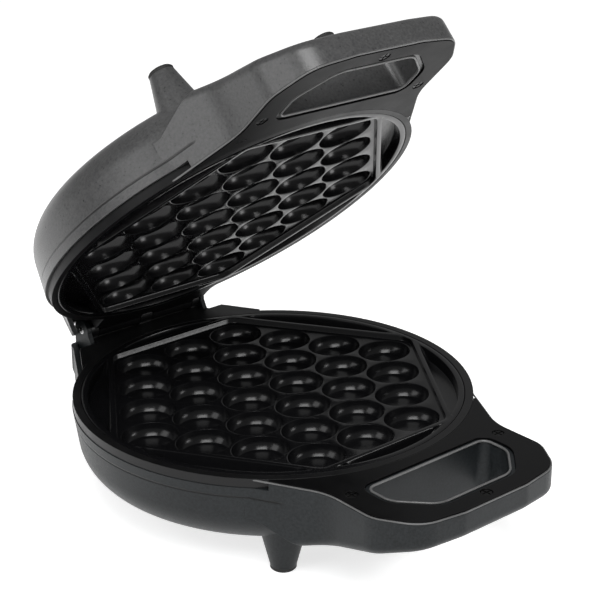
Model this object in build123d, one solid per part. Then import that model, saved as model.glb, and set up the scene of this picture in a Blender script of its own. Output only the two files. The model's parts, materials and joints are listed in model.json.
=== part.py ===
from build123d import *
import math
import os

# Electric bubble waffle maker: two round halves with mould plates, joined by a rear hinge.
# Each half is modelled as a tray: parting plane at z = 0, body going down, round centre at x = y = 0.
# The upper half is the same tray mirrored in z, then turned open about the hinge.

# Round body and its wall, mm
BODY_R = 102.6
BODY_DRAFT = 5.4
BODY_DEPTH = 38.6
DOME = 1.6
CROWN_R = 40.0
CORNER_R = 20.0
INNER_CORNER_CUTS = (0.72, 0.3)
WALL = 2.6
OPEN_DEG = 44.1
RUN_GAP = 0.3
FIT_GAP = 0.1

# Edge of the shells: high at the front, lower round the sides and rear
EDGE_FRONT = 1.2
EDGE_REAR = 4.8
FRONT_SECTOR_DEG = 41.0
BASE_LIP_INSET = 1.0
LID_LIP_INSET = 2.0

# Front handle: its length past the round body, its widths and its side view
HANDLE_LENGTH = 53.8
HANDLE_HALF = 55.2
HANDLE_ROOT_DEG = 42.6
HANDLE_ROOT_SINK = 2.1
HANDLE_SHOULDER = 30.4
HANDLE_CORNER_HALF = 43.0
HANDLE_CORNER_BACK = 3.9
HANDLE_NOSE_HALF = 20.0
HANDLE_TOP = 10.6
HANDLE_TOP_DEPTH = 31.5
HANDLE_ROOT_BACK = 30.6
HANDLE_ROOT_DEPTH = 21.0
HANDLE_TIP_DEPTH = 13.0
HANDLE_ROUND = 5.0
HANDLE_RADII = (0, 30.0, 16.0, 18.0, 12.0)
HANDLE_REACH = BODY_R + HANDLE_LENGTH
HANDLE_NECK_Y = -BODY_R - 0.4
HANDLE_TOP_Y = -BODY_R + HANDLE_TOP
HANDLE_ROOT_Y = -BODY_R + HANDLE_ROOT_BACK

# Finger opening, set between the round body and the handle's front edge
POCKET_BACK = 8.4
POCKET_BAR = 12.9
POCKET_HALF = 38.5
POCKET_NOSE_HALF = 23.0
POCKET_SHOULDER = 16.0
POCKET_RADII = (5.0, 12.0, 12.0)
POCKET_WALL = 2.2
COVER_PLUG_DEPTH = 3.2
COVER_INSET = 1.0
POCKET_BACK_Y = -BODY_R - POCKET_BACK
POCKET_FRONT_Y = -HANDLE_REACH + POCKET_BAR
POCKET_SHOULDER_Y = POCKET_BACK_Y - POCKET_SHOULDER

# Rear block that carries the hinge
BLOCK_ROOT_DEG = 50.0
BLOCK_HALF = 44.6
BLOCK_LENGTH = 18.9
BLOCK_REAR_HALF = 43.0
BLOCK_CHEEK_LENGTH = 5.5
BLOCK_TOP = 18.6
BLOCK_TOP_DEPTH = 36.0
BLOCK_TIP_DEPTH = 17.0
BLOCK_RADII = (0, 3.0, 3.5)
BLOCK_REACH = BODY_R + BLOCK_LENGTH
BLOCK_CORNER_Y = BLOCK_REACH - BLOCK_CHEEK_LENGTH
BLOCK_TOP_Y = BODY_R - BLOCK_TOP

# Hinge
HINGE_OUT = 12.2
HINGE_Z = 4.3
PIN_R = 2.0
PIN_GAP = 0.05
KNUCKLE_R = 5.5
KNUCKLE_SPLITS = (4.2, 31.4)
KNUCKLE_GAP = 0.4
HINGE_HALF = 37.0
CHEEK_THICK = 2.6
CHEEK_R = 6.1
TROUGH_CLEAR = 0.7
CHEEK_CLEAR = 1.0
BRIDGE_BACK = 8.8
LID_BRIDGE_DEPTH = 8.0
BASE_BRIDGE_DEPTH = 5.0
HINGE_Y = BODY_R + HINGE_OUT
BRIDGE_Y = HINGE_Y - BRIDGE_BACK

# Inner ring of the surround and the ledge that carries the plate
RING_WALL = 5.1
LEDGE_WIDTH = 6.5
LEDGE_THICK = 2.2
RING_INNER_R = BODY_R - RING_WALL
LEDGE_INNER_R = RING_INNER_R - LEDGE_WIDTH

# Plate casting
PLATE_RIM = 3.4
PLATE_FLANGE_TOP = 6.0
PLATE_FLANGE_BOTTOM = 9.0
BLOCK_FLOOR = 2.7
CAST_CLEAR = 0.6
PLATE_R = RING_INNER_R - RUN_GAP
CAST_R = LEDGE_INNER_R - CAST_CLEAR

# Mould: rows of egg pockets parallel to the hinge, the longest row filling the plate
ROW_COUNTS = (3, 4, 5, 6, 5, 4, 3)
MOULD_MARGIN = 5.3
EGG_WEB = 2.2
EGG_DEPTH = 11.0
EGG_SIDES = 12
EGG_RINGS = ((0.0, 1.0), (0.62, 0.76), (1.0, 0.28))
ROW_TO_PITCH = 0.745
EGG_WIDTH_SHARE = 0.896
RIDGE_GAP = 2.0
RIDGE_WIDTH = 3.0
HEX_CORNER_R = 7.0
WEB_DROP = 2.8
PITCH = (2 * (PLATE_R - MOULD_MARGIN) + EGG_WEB) / max(ROW_COUNTS)
ROW_STEP = PITCH * ROW_TO_PITCH
EGG_HALF_X = (PITCH - EGG_WEB) / 2
EGG_HALF_Y = EGG_HALF_X * EGG_WIDTH_SHARE

# Legs and rubber feet, placed by their distance in from the round edge
LEG_FRONT = (19.0, -53.3)
LEG_REAR = (25.4, 53.4)
LEG_TIP_R = 6.4
LEG_ROOT_R = 12.6
LEG_ROOT_RISE = 8.6
LEG_LENGTH = 18.0
PAD_THICK = 2.0
PAD_STEM_R = 2.4
PAD_STEM_LENGTH = 3.6
PART_HEIGHT = BODY_DEPTH + LEG_LENGTH
LEG_ROOT_DEPTH = BODY_DEPTH - LEG_ROOT_RISE

# Screws: one kind for plates and reflectors, a larger one for the handle covers
SCREW_R = 1.5
SCREW_HEAD_R = 2.7
SCREW_HEAD = 1.6
SCREW_LENGTH = 4.4
SCREW_SIDES = 12
LEDGE_SCREW_DEG = (25.0, 155.0, 205.0, 335.0)
LEDGE_SCREW_R = (PLATE_R + LEDGE_INNER_R) / 2
COVER_SCREW_R = 1.8
COVER_HEAD_R = 2.6
COVER_SCREW_LENGTH = 9.0
COVER_SCREW_SLOT = 0.8
COVER_SLOT_DEPTH = 0.5
COVER_WELL_R = 3.0
COVER_WELL_DEPTH = 2.0
COVER_BOSS_R = 3.8
COVER_SCREW_OUT = 9.0
COVER_SCREW_BACK = 9.2
COVER_SCREW_X = POCKET_HALF + COVER_SCREW_OUT
COVER_SCREW_Y = -BODY_R - COVER_SCREW_BACK
COVER_SCREW_FRONT_Y = POCKET_FRONT_Y - POCKET_BAR / 2 + COVER_INSET / 2

# Heating element, reflector and the electrical pieces
HEATER_R = 62.0
HEATER_TUBE_R = 3.2
HEATER_GAP_DEG = 24.0
HEATER_SIDES = 8
TERMINAL_R = 2.7
TERMINAL_LENGTH = 12.0
HEATER_SEAT = 0.1
REFLECTOR_CLEAR = 3.0
REFLECTOR_THICK = 0.8
REFLECTOR_RIM = 3.0
REFLECTOR_R = LEDGE_INNER_R - REFLECTOR_CLEAR
POST_R = 4.2
POST_X = 42.0
POST_Y = 30.0
THERMOSTAT_R = 9.0
THERMOSTAT_HEIGHT = 12.0
THERMOSTAT_EAR = 13.0
THERMOSTAT_TAB = 4.0
FUSE_R = 2.6
FUSE_LENGTH = 19.0
FUSE_X = -30.0
TERMINAL_BLOCK = (30.0, 15.0, 9.0)
TERMINAL_BLOCK_Y = 40.0
TERMINAL_HOLE_R = 2.2
FLOOR_BOSS = 1.5

# Cord gland in the rear wall
GLAND_X = 22.0
GLAND_DEPTH = 11.0
GLAND_R = 4.6
GLAND_FLANGE_R = 5.7
GLAND_INNER_R = 4.9
GLAND_FLANGE = 1.6
GLAND_NOSE = 4.0
GLAND_HOLE_R = 3.5

# Indicator lamps in the top of the lid
LENS_R = 4.0
LENS_FLANGE = 1.0
LENS_X = 9.0
LENS_IN = 32.6
LENS_PROUD = 1.4
LENS_STEM = 4.6
LAMP_BOARD = (34.0, 14.0, 1.6)
BOARD_POST_R = 1.8
LENS_Y = -BODY_R + LENS_IN

# Sizes that follow from the ones above
FLOOR_R = BODY_R - BODY_DRAFT
CAST_DEPTH = WEB_DROP + EGG_DEPTH + BLOCK_FLOOR
HEATER_Z = -CAST_DEPTH - HEATER_TUBE_R - HEATER_SEAT
REFLECTOR_Z = HEATER_Z - HEATER_TUBE_R - HEATER_SEAT - RUN_GAP
LEDGE_TOP = -PLATE_FLANGE_BOTTOM - FIT_GAP
FLOOR_Z = -BODY_DEPTH + WALL
HALF_GAP = RUN_GAP / 2
WIDE = 500.0


def span(x0, x1, y0, y1, z0, z1):
    """Box given by its limits."""
    return Pos((x0 + x1) / 2, (y0 + y1) / 2, (z0 + z1) / 2) * Box(abs(x1 - x0), abs(y1 - y0), abs(z1 - z0))


def rod(radius, x, y, z0, z1):
    """Upright cylinder between two heights."""
    return Pos(x, y, (z0 + z1) / 2) * Cylinder(radius, abs(z1 - z0))


def cross_rod(radius, x0, x1, y, z):
    """Cylinder along X."""
    return Pos((x0 + x1) / 2, y, z) * Rot(0, 90, 0) * Cylinder(radius, x1 - x0)


def prism(face, z0, z1):
    """Plan face extruded between two heights."""
    return Pos(0, 0, min(z0, z1)) * extrude(face, abs(z1 - z0))


def rounded_outline(half_points, radii):
    """Closed plan outline, mirrored in x, with each named corner rounded on both sides."""
    mirrored = [(-x, y) for x, y in reversed(half_points)]
    face = make_face(Polyline(*half_points, *mirrored, close=True))
    for (x, y), radius in zip(half_points, radii):
        if radius <= 0:
            continue
        corners = [v for v in face.vertices() if abs(abs(v.X) - x) < 1e-3 and abs(v.Y - y) < 1e-3]
        face = fillet(corners, radius)
    return face


def polar(radius, degrees):
    """Plan point at a radius and an angle from +X."""
    return radius * math.cos(math.radians(degrees)), radius * math.sin(math.radians(degrees))


def handle_outline(inset=0.0):
    """Plan of the handle, from inside the round body to the front edge."""
    root_x, root_y = polar(BODY_R - HANDLE_ROOT_SINK, -HANDLE_ROOT_DEG)
    points = [
        (root_x - inset, root_y),
        (HANDLE_HALF - inset, HANDLE_NECK_Y),
        (HANDLE_HALF - inset, -BODY_R - HANDLE_SHOULDER),
        (HANDLE_CORNER_HALF - inset * 0.6, -HANDLE_REACH + HANDLE_CORNER_BACK + inset * 0.8),
        (HANDLE_NOSE_HALF - inset * 0.3, -HANDLE_REACH + inset),
    ]
    return rounded_outline(points, HANDLE_RADII)


def pocket_outline(grow=0.0):
    """Plan of the D-shaped finger opening."""
    points = [
        (POCKET_HALF + grow, POCKET_BACK_Y + grow),
        (POCKET_HALF + grow, POCKET_SHOULDER_Y - grow * 0.4),
        (POCKET_NOSE_HALF + grow * 0.4, POCKET_FRONT_Y - grow),
    ]
    return rounded_outline(points, [radius + grow for radius in POCKET_RADII])


def block_outline(inset=0.0):
    """Plan of the rear block."""
    root_x, root_y = polar(BODY_R, BLOCK_ROOT_DEG)
    points = [
        (root_x - inset, root_y),
        (BLOCK_HALF - inset, BLOCK_CORNER_Y - inset * 0.5),
        (BLOCK_REAR_HALF - inset, BLOCK_REACH - inset),
    ]
    return rounded_outline(points, BLOCK_RADII)


def side_profile(points):
    """Solid across the whole width from a side view outline of (y, z) points."""
    face = make_face(Polyline(*[(0, y, z) for y, z in points], close=True))
    return extrude(face, WIDE / 2, dir=(1, 0, 0), both=True)


def bowl(inset=0.0):
    """Round body as one solid: straight draft, rounded lower corner, slightly crowned floor.

    Its inner form has the corner cut by flats, because nothing seats there.
    """
    edge = BODY_R - inset
    floor_r = FLOOR_R - inset
    depth = BODY_DEPTH - inset
    points = [(0, 0), (edge, 0), (floor_r, -depth), (CROWN_R, -depth - DOME), (0, -depth - DOME)]
    face = make_face(Polyline(*[(x, 0, z) for x, z in points], close=True))
    corner = [v for v in face.vertices() if abs(v.X - floor_r) < 1e-3 and abs(v.Z + depth) < 1e-3]
    if inset == 0:
        return revolve(fillet(corner, CORNER_R), Axis.Z)
    wide, narrow = INNER_CORNER_CUTS
    face = chamfer(corner, CORNER_R * wide)
    low = [v for v in face.vertices() if v.X > CROWN_R + 1 and -depth - DOME < v.Z < -1]
    return revolve(chamfer(low, CORNER_R * narrow), Axis.Z)


def handle_solid(inset=0.0):
    """Handle as one solid with a sloping outer face."""
    slope = [
        (0, 0),
        (0, -HANDLE_ROOT_DEPTH + inset),
        (HANDLE_ROOT_Y, -HANDLE_ROOT_DEPTH + inset),
        (HANDLE_TOP_Y, -HANDLE_TOP_DEPTH + inset),
        (-HANDLE_REACH - 1, -HANDLE_TIP_DEPTH + inset),
        (-HANDLE_REACH - 1, 0),
    ]
    solid = prism(handle_outline(inset), 0, -BODY_DEPTH) & side_profile(slope)
    if inset > 0:
        return solid
    lower = [e for e in solid.edges()
             if e.center().Y < HANDLE_NECK_Y and e.bounding_box().max.Z < -HANDLE_TIP_DEPTH * 0.6]
    return fillet(lower, HANDLE_ROUND)


def block_solid(inset=0.0):
    """Rear block as one solid with a sloping outer face."""
    slope = [
        (0, 0),
        (0, -BLOCK_TOP_DEPTH + inset),
        (BLOCK_TOP_Y, -BLOCK_TOP_DEPTH + inset),
        (BLOCK_REACH + 1, -BLOCK_TIP_DEPTH + inset),
        (BLOCK_REACH + 1, 0),
    ]
    return prism(block_outline(inset), 0, -BODY_DEPTH) & side_profile(slope)


def leg_places():
    """Plan points of the four legs."""
    points = [polar(BODY_R - inward, degrees) for inward, degrees in (LEG_FRONT, LEG_REAR)]
    return [(side * x, y) for x, y in points for side in (-1, 1)]


def leg_cone(x, y, inset=0.0):
    """One tapered leg from inside the body to just above its rubber foot."""
    tip = -PART_HEIGHT + PAD_THICK + inset
    height = tip + LEG_ROOT_DEPTH
    cone = Cone(LEG_TIP_R - inset, LEG_ROOT_R - inset, abs(height))
    return Pos(x, y, (tip - LEG_ROOT_DEPTH) / 2) * cone


def tray_block(inset=0.0):
    """Outer form of one half as a solid, grown inward by an inset."""
    solid = bowl(inset) + handle_solid(inset) + block_solid(inset)
    for x, y in leg_places():
        solid += leg_cone(x, y, inset)
    return solid


def front_sector(z0, z1):
    """Wedge at the front, where the shell edge stands high."""
    reach = WIDE / 2
    x = reach * math.sin(math.radians(FRONT_SECTOR_DEG))
    y = -reach * math.cos(math.radians(FRONT_SECTOR_DEG))
    return prism(make_face(Polyline((0, 0), (-x, y), (x, y), close=True)), z0, z1)


def edge_trim():
    """What is taken off above the shell edge."""
    half = WIDE / 2
    high = span(-half, half, -half, half, -EDGE_FRONT, 1)
    low = span(-half, half, -half, half, -EDGE_REAR, 1) - front_sector(-EDGE_REAR - 1, 2)
    return high + low


def cover_screw_places():
    """Plan points of the three screws that hold a handle cover."""
    return [(-COVER_SCREW_X, COVER_SCREW_Y), (COVER_SCREW_X, COVER_SCREW_Y), (0, COVER_SCREW_FRONT_Y)]


def screw_boss(x, y):
    """Boss in the shell under a handle cover screw."""
    top = -COVER_PLUG_DEPTH - FIT_GAP
    return rod(COVER_BOSS_R, x, y, top, -BODY_DEPTH) & tray_block_cache(0.5)


TRAYS = {}


def tray_block_cache(inset):
    """Tray block of one inset, made once."""
    if inset not in TRAYS:
        TRAYS[inset] = tray_block(inset)
    return TRAYS[inset]


def open_tray():
    """Moulded shell shared by both halves: hollow, with the finger opening's own wall."""
    pocket = prism(pocket_outline(POCKET_WALL), 1, -BODY_DEPTH)
    shell = tray_block_cache(0.0) - (tray_block_cache(WALL) - pocket)
    shell -= prism(pocket_outline(), 2, -BODY_DEPTH - 1)
    shell -= edge_trim()
    for x, y in cover_screw_places():
        shell += screw_boss(x, y)
        shell -= rod(SCREW_R, x, y, 0, -COVER_PLUG_DEPTH - COVER_SCREW_LENGTH)
    for x, y in leg_places():
        shell -= rod(PAD_STEM_R + FIT_GAP, x, y, -PART_HEIGHT, -PART_HEIGHT + PAD_THICK + WALL + 1)
    return shell


def knuckle_spans(lid):
    """X limits of the knuckles that belong to one half."""
    inner, outer = KNUCKLE_SPLITS
    gap = KNUCKLE_GAP / 2
    if lid:
        return [(-outer + gap, -inner - gap), (inner + gap, outer - gap)]
    edge = HINGE_HALF - KNUCKLE_GAP
    return [(-edge, -outer - gap), (-inner + gap, inner - gap), (outer + gap, edge)]


def base_shell():
    """Lower housing with the two cheeks that hold the hinge pin."""
    shell = open_tray()
    for side in (-1, 1):
        x0, x1 = sorted((side * HINGE_HALF, side * (HINGE_HALF + CHEEK_THICK)))
        foot = span(x0, x1, BRIDGE_Y - 2, BLOCK_REACH, -BLOCK_TIP_DEPTH, -EDGE_REAR)
        lug = side_profile([(BRIDGE_Y - 2, -EDGE_REAR), (HINGE_Y - 3, HINGE_Z + CHEEK_R * 0.86),
                            (HINGE_Y, HINGE_Z + CHEEK_R), (HINGE_Y + CHEEK_R, HINGE_Z),
                            (HINGE_Y + CHEEK_R, -EDGE_REAR)])
        lug &= span(x0, x1, BRIDGE_Y - 3, BLOCK_REACH + 2, -EDGE_REAR - 1, WIDE / 4)
        lug += cross_rod(CHEEK_R, x0, x1, HINGE_Y, HINGE_Z)
        shell += (foot & tray_block_cache(0.5)) + lug
    shell -= cross_rod(PIN_R + PIN_GAP, -BLOCK_HALF, BLOCK_HALF, HINGE_Y, HINGE_Z)
    shell -= Pos(GLAND_X, BLOCK_REACH, -GLAND_DEPTH) * Rot(90, 0, 0) * Cylinder(GLAND_R + FIT_GAP, 4 * WALL)
    return shell + floor_boss()


def floor_boss():
    """Seat of the terminal block on the floor."""
    width, depth, _ = TERMINAL_BLOCK
    return span(-width / 2, width / 2, TERMINAL_BLOCK_Y - depth / 2, TERMINAL_BLOCK_Y + depth / 2,
                FLOOR_Z - 2, FLOOR_Z + FLOOR_BOSS)


def lid_shell():
    """Upper housing, in tray position: cut away round the hinge, with the lamp holes."""
    shell = open_tray()
    cut = HINGE_HALF + CHEEK_THICK + 2 * RUN_GAP
    shell -= span(-cut, cut, BLOCK_REACH - WALL - 2, BLOCK_REACH + 1, -HINGE_Z - CHEEK_R - CHEEK_CLEAR, 0)
    for x in (-LENS_X, LENS_X):
        shell -= rod(LENS_R + FIT_GAP, x, LENS_Y, FLOOR_Z + 2, -BODY_DEPTH - 2 * DOME)
    return shell


def ring_section(lip_r):
    """Surround ring: visible lip, wall inside the shell and the ledge under the plate."""
    ledge_bottom = LEDGE_TOP - LEDGE_THICK
    ring = rod(lip_r, 0, 0, -HALF_GAP, -EDGE_REAR) - front_sector(-EDGE_REAR - 1, -EDGE_FRONT)
    ring += bowl(WALL + 2 * FIT_GAP) & rod(BODY_R, 0, 0, -EDGE_FRONT, ledge_bottom)
    ring -= rod(RING_INNER_R, 0, 0, 1, LEDGE_TOP)
    return ring - rod(LEDGE_INNER_R, 0, 0, 0, ledge_bottom - 1)


def base_bridge():
    """Rear part of the lower surround, filling the block between the cheeks and beside them."""
    half = HINGE_HALF - KNUCKLE_GAP
    bridge = prism(block_outline(WALL + FIT_GAP), -HALF_GAP, -BASE_BRIDGE_DEPTH)
    bridge &= span(-WIDE, WIDE, BLOCK_TOP_Y, WIDE, -WIDE, WIDE)
    for side in (-1, 1):
        bridge -= span(side * half, side * WIDE, BRIDGE_Y - 2 - FIT_GAP, WIDE, -WIDE, WIDE)
    return bridge


def lid_bridge():
    """Straight rear part of the upper surround, in front of the knuckles."""
    half = HINGE_HALF - KNUCKLE_GAP
    return span(-half, half, BLOCK_TOP_Y, BRIDGE_Y, -HALF_GAP, -LID_BRIDGE_DEPTH)


def knuckle(lid, x0, x1):
    """One moulded hinge knuckle with the web that carries it."""
    if lid:
        barrel = cross_rod(KNUCKLE_R, x0, x1, HINGE_Y, -HINGE_Z)
        return barrel + span(x0, x1, BRIDGE_Y - 6, HINGE_Y, -HALF_GAP - KNUCKLE_GAP, -LID_BRIDGE_DEPTH)
    barrel = cross_rod(KNUCKLE_R, x0, x1, HINGE_Y, HINGE_Z)
    return barrel + span(x0, x1, HINGE_Y - 4, HINGE_Y + 3, HINGE_Z, -BASE_BRIDGE_DEPTH + 1)


def surround(lid):
    """Dark inner surround of one half, with the hinge bridge and moulded knuckles."""
    body = ring_section(BODY_R - (LID_LIP_INSET if lid else BASE_LIP_INSET))
    bridge = lid_bridge() if lid else base_bridge()
    hinge_z = -HINGE_Z if lid else HINGE_Z
    body += bridge - rod(RING_INNER_R + 1, 0, 0, 1, -WIDE / 2)
    body -= cross_rod(KNUCKLE_R + TROUGH_CLEAR, -BLOCK_HALF, BLOCK_HALF, HINGE_Y, hinge_z)
    for x0, x1 in knuckle_spans(lid):
        body += knuckle(lid, x0, x1)
    body -= cross_rod(PIN_R + PIN_GAP, -BLOCK_HALF, BLOCK_HALF, HINGE_Y, hinge_z)
    for x, y in ledge_screw_places():
        body -= rod(SCREW_R + FIT_GAP, x, y, 0, -2 * PLATE_FLANGE_BOTTOM)
    return body


def handle_cover(lid):
    """Dark cover let into the handle, round the finger opening."""
    lip_r = BODY_R - (LID_LIP_INSET if lid else BASE_LIP_INSET)
    plate = prism(handle_outline(COVER_INSET), -HALF_GAP, -EDGE_FRONT)
    plug = prism(handle_outline(WALL + FIT_GAP), -HALF_GAP, -COVER_PLUG_DEPTH)
    cover = (plate + plug) & front_sector(-BODY_DEPTH, 1)
    cover -= rod(lip_r + 2 * FIT_GAP, 0, 0, 1, -COVER_PLUG_DEPTH - 1)
    cover -= prism(pocket_outline(POCKET_WALL + FIT_GAP), 1, -COVER_PLUG_DEPTH - 1)
    for x, y in cover_screw_places():
        cover -= rod(COVER_WELL_R, x, y, 1, -COVER_WELL_DEPTH)
        cover -= rod(COVER_SCREW_R + FIT_GAP, x, y, 1, -WIDE / 4)
    return cover


def cover_screws():
    """The screws of a handle cover, with a cross recess."""
    solids = []
    top = -COVER_WELL_DEPTH + SCREW_HEAD
    half = COVER_SCREW_SLOT / 2
    for x, y in cover_screw_places():
        head = rod(COVER_HEAD_R, x, y, -COVER_WELL_DEPTH, top)
        shank = rod(SCREW_R, x, y, -COVER_WELL_DEPTH, -COVER_WELL_DEPTH - COVER_SCREW_LENGTH)
        slot = span(x - COVER_HEAD_R, x + COVER_HEAD_R, y - half, y + half, top - COVER_SLOT_DEPTH, top)
        cross = span(x - half, x + half, y - COVER_HEAD_R, y + COVER_HEAD_R, top - COVER_SLOT_DEPTH, top)
        solids.append(head + shank - slot - cross)
    return Compound(children=solids)


def egg_centres():
    """Centres of the egg pockets, row by row from the front."""
    middle = (len(ROW_COUNTS) - 1) / 2
    places = []
    for row, count in enumerate(ROW_COUNTS):
        for column in range(count):
            places.append(((column - (count - 1) / 2) * PITCH, (row - middle) * ROW_STEP))
    return places


def mould_hexagon(margin):
    """Six-sided outline that runs round the egg pockets at a margin."""
    middle = (len(ROW_COUNTS) - 1) / 2
    long_half = (max(ROW_COUNTS) - 1) / 2 * PITCH
    short_half = (min(ROW_COUNTS) - 1) / 2 * PITCH
    rise = middle * ROW_STEP
    length = math.hypot(rise, long_half - short_half)
    nx, ny = rise / length, (long_half - short_half) / length
    offset = nx * long_half + math.hypot(nx * EGG_HALF_X, ny * EGG_HALF_Y) + margin
    front = rise + EGG_HALF_Y + margin
    side_x = offset / nx
    front_x = (offset - ny * front) / nx
    points = [(side_x, 0), (front_x, front), (-front_x, front),
              (-side_x, 0), (-front_x, -front), (front_x, -front)]
    face = make_face(Polyline(*points, close=True))
    return fillet([v for v in face.vertices() if abs(v.Y) > 1], HEX_CORNER_R)


def egg_pocket():
    """One egg pocket as a bowl of flat facets, from the web downwards."""
    rings = []
    for depth, share in EGG_RINGS:
        turns = [2 * math.pi * (step + 0.5) / EGG_SIDES for step in range(EGG_SIDES)]
        rings.append([(EGG_HALF_X * share * math.cos(turn), EGG_HALF_Y * share * math.sin(turn),
                       -WEB_DROP - EGG_DEPTH * depth) for turn in turns])
    faces = [make_face(Polyline(*ring, close=True)) for ring in (rings[0], rings[-1])]
    for upper, lower in zip(rings, rings[1:]):
        for i in range(EGG_SIDES):
            faces.append(make_face(Polyline(upper[i - 1], upper[i], lower[i], lower[i - 1], close=True)))
    return Solid(Shell(faces))


def ledge_screw_places():
    """Plan points of the screws that hold a plate down on the ledge."""
    return [polar(LEDGE_SCREW_R, degrees) for degrees in LEDGE_SCREW_DEG]


def post_places():
    """Plan points of the posts that carry the reflector."""
    return [(sx * POST_X, sy * POST_Y) for sx in (-1, 1) for sy in (-1, 1)]


def mould_plate():
    """Cast plate: rim, gutter, six-sided ridge, sunk web with the egg pockets, posts underneath."""
    hexagon = mould_hexagon(RIDGE_GAP + RIDGE_WIDTH)
    disc = rod(PLATE_R, 0, 0, -HALF_GAP, -PLATE_FLANGE_BOTTOM)
    gutter = rod(PLATE_R - PLATE_RIM, 0, 0, 1, -PLATE_FLANGE_TOP)
    gutter -= prism(hexagon, 2, -PLATE_FLANGE_TOP - 1)
    plate = disc - gutter
    plate += prism(hexagon, -PLATE_FLANGE_BOTTOM + 1, -CAST_DEPTH) & rod(CAST_R, 0, 0, 0, -CAST_DEPTH)
    plate -= prism(mould_hexagon(RIDGE_GAP), 1, -WEB_DROP)
    pocket = egg_pocket()
    plate -= [Pos(x, y, 0) * pocket for x, y in egg_centres()]
    for x, y in post_places():
        plate += rod(POST_R, x, y, -CAST_DEPTH, REFLECTOR_Z)
        plate -= rod(SCREW_R, x, y, REFLECTOR_Z, REFLECTOR_Z + SCREW_LENGTH)
    for x, y in ledge_screw_places():
        plate -= rod(SCREW_R, x, y, -PLATE_FLANGE_BOTTOM, -PLATE_FLANGE_BOTTOM + SCREW_LENGTH - LEDGE_THICK)
    return plate


def plate_screws():
    """Screws of a plate and its reflector, all alike."""
    seats = [(x, y, LEDGE_TOP - LEDGE_THICK) for x, y in ledge_screw_places()]
    seats += [(x, y, REFLECTOR_Z - REFLECTOR_THICK) for x, y in post_places()]
    head = prism(RegularPolygon(SCREW_HEAD_R, SCREW_SIDES), -SCREW_HEAD, 0)
    screw = head + prism(RegularPolygon(SCREW_R, SCREW_SIDES), 0, SCREW_LENGTH - 2 * FIT_GAP)
    return Compound(children=[Pos(*seat) * screw for seat in seats])


def heater():
    """Tubular element under the plate, an open loop with its ends turned down at the rear."""
    start = 90 + HEATER_GAP_DEG / 2
    section = Pos(HEATER_R, 0, HEATER_Z) * Rot(90, 0, 0) * RegularPolygon(HEATER_TUBE_R, HEATER_SIDES)
    loop = Rot(0, 0, start) * revolve(section, Axis.Z, revolution_arc=360 - HEATER_GAP_DEG)
    for x, y in heater_ends():
        loop += rod(TERMINAL_R, x, y, HEATER_Z, HEATER_Z - TERMINAL_LENGTH)
    return loop


def heater_ends():
    """Plan points of the two element ends."""
    return [polar(HEATER_R, 90 + side * HEATER_GAP_DEG / 2) for side in (-1, 1)]


def reflector():
    """Thin dish that keeps the heat off the shell."""
    dish = rod(REFLECTOR_R, 0, 0, REFLECTOR_Z, REFLECTOR_Z - REFLECTOR_THICK)
    rim = rod(REFLECTOR_R, 0, 0, REFLECTOR_Z, REFLECTOR_Z + REFLECTOR_RIM)
    rim -= rod(REFLECTOR_R - REFLECTOR_THICK, 0, 0, REFLECTOR_Z - 1, REFLECTOR_Z + REFLECTOR_RIM + 1)
    dish += rim
    for x, y in heater_ends():
        dish -= rod(HEATER_TUBE_R + 1.2, x, y, REFLECTOR_Z + 1, REFLECTOR_Z - 2)
    for x, y in post_places():
        dish -= rod(SCREW_R + FIT_GAP, x, y, REFLECTOR_Z + 1, REFLECTOR_Z - 2)
    return dish - rod(THERMOSTAT_R + 1, 0, 0, REFLECTOR_Z + 1, REFLECTOR_Z - 2)


def thermostat():
    """Snap thermostat held against the underside of the lower plate."""
    top = -CAST_DEPTH - FIT_GAP
    low = top - THERMOSTAT_HEIGHT
    cup = rod(THERMOSTAT_R, 0, 0, top, low)
    ears = span(-THERMOSTAT_EAR, THERMOSTAT_EAR, -THERMOSTAT_TAB, THERMOSTAT_TAB, top - 1, top)
    tab = span(-5, -3, -3, 3, low - THERMOSTAT_TAB, low)
    return cup + ears + tab + mirror(tab, Plane.YZ)


def thermal_fuse():
    """Thermal cut-out tube clipped under the reflector."""
    z = REFLECTOR_Z - REFLECTOR_THICK - FUSE_R - FIT_GAP
    body = Pos(FUSE_X, 0, z) * Rot(90, 0, 0) * Cylinder(FUSE_R, FUSE_LENGTH)
    lead = Pos(FUSE_X, 0, z) * Rot(90, 0, 0) * Cylinder(FUSE_R * 0.3, FUSE_LENGTH * 2)
    return body + lead


def terminal_block():
    """Three-way terminal block on the floor, near the rear."""
    width, depth, height = TERMINAL_BLOCK
    low = FLOOR_Z + FLOOR_BOSS
    y0, y1 = TERMINAL_BLOCK_Y - depth / 2, TERMINAL_BLOCK_Y + depth / 2
    block = span(-width / 2, width / 2, y0, y1, low, low + height)
    for x in (-width / 3, 0, width / 3):
        block -= rod(TERMINAL_HOLE_R, x, TERMINAL_BLOCK_Y, low + height / 2, low + height + 1)
    return block


def cord_gland():
    """Grommet in the rear wall that the supply cord passes through."""
    rear = BLOCK_REACH
    parts = [
        (GLAND_FLANGE_R, rear, rear + GLAND_FLANGE),
        (GLAND_R * 0.92, rear + GLAND_FLANGE, rear + GLAND_FLANGE + GLAND_NOSE),
        (GLAND_R, rear - WALL, rear),
        (GLAND_INNER_R, rear - WALL - GLAND_FLANGE, rear - WALL),
    ]
    gland = None
    for radius, y0, y1 in parts:
        disc = Pos(GLAND_X, (y0 + y1) / 2, -GLAND_DEPTH) * Rot(90, 0, 0) * Cylinder(radius, y1 - y0)
        gland = disc if gland is None else gland + disc
    return gland - Pos(GLAND_X, rear, -GLAND_DEPTH) * Rot(90, 0, 0) * Cylinder(GLAND_HOLE_R, WIDE / 4)


def hinge_pin():
    """Steel pin through the cheeks and every knuckle."""
    edge = HINGE_HALF + CHEEK_THICK
    return cross_rod(PIN_R, -edge, edge, HINGE_Y, HINGE_Z)


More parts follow.
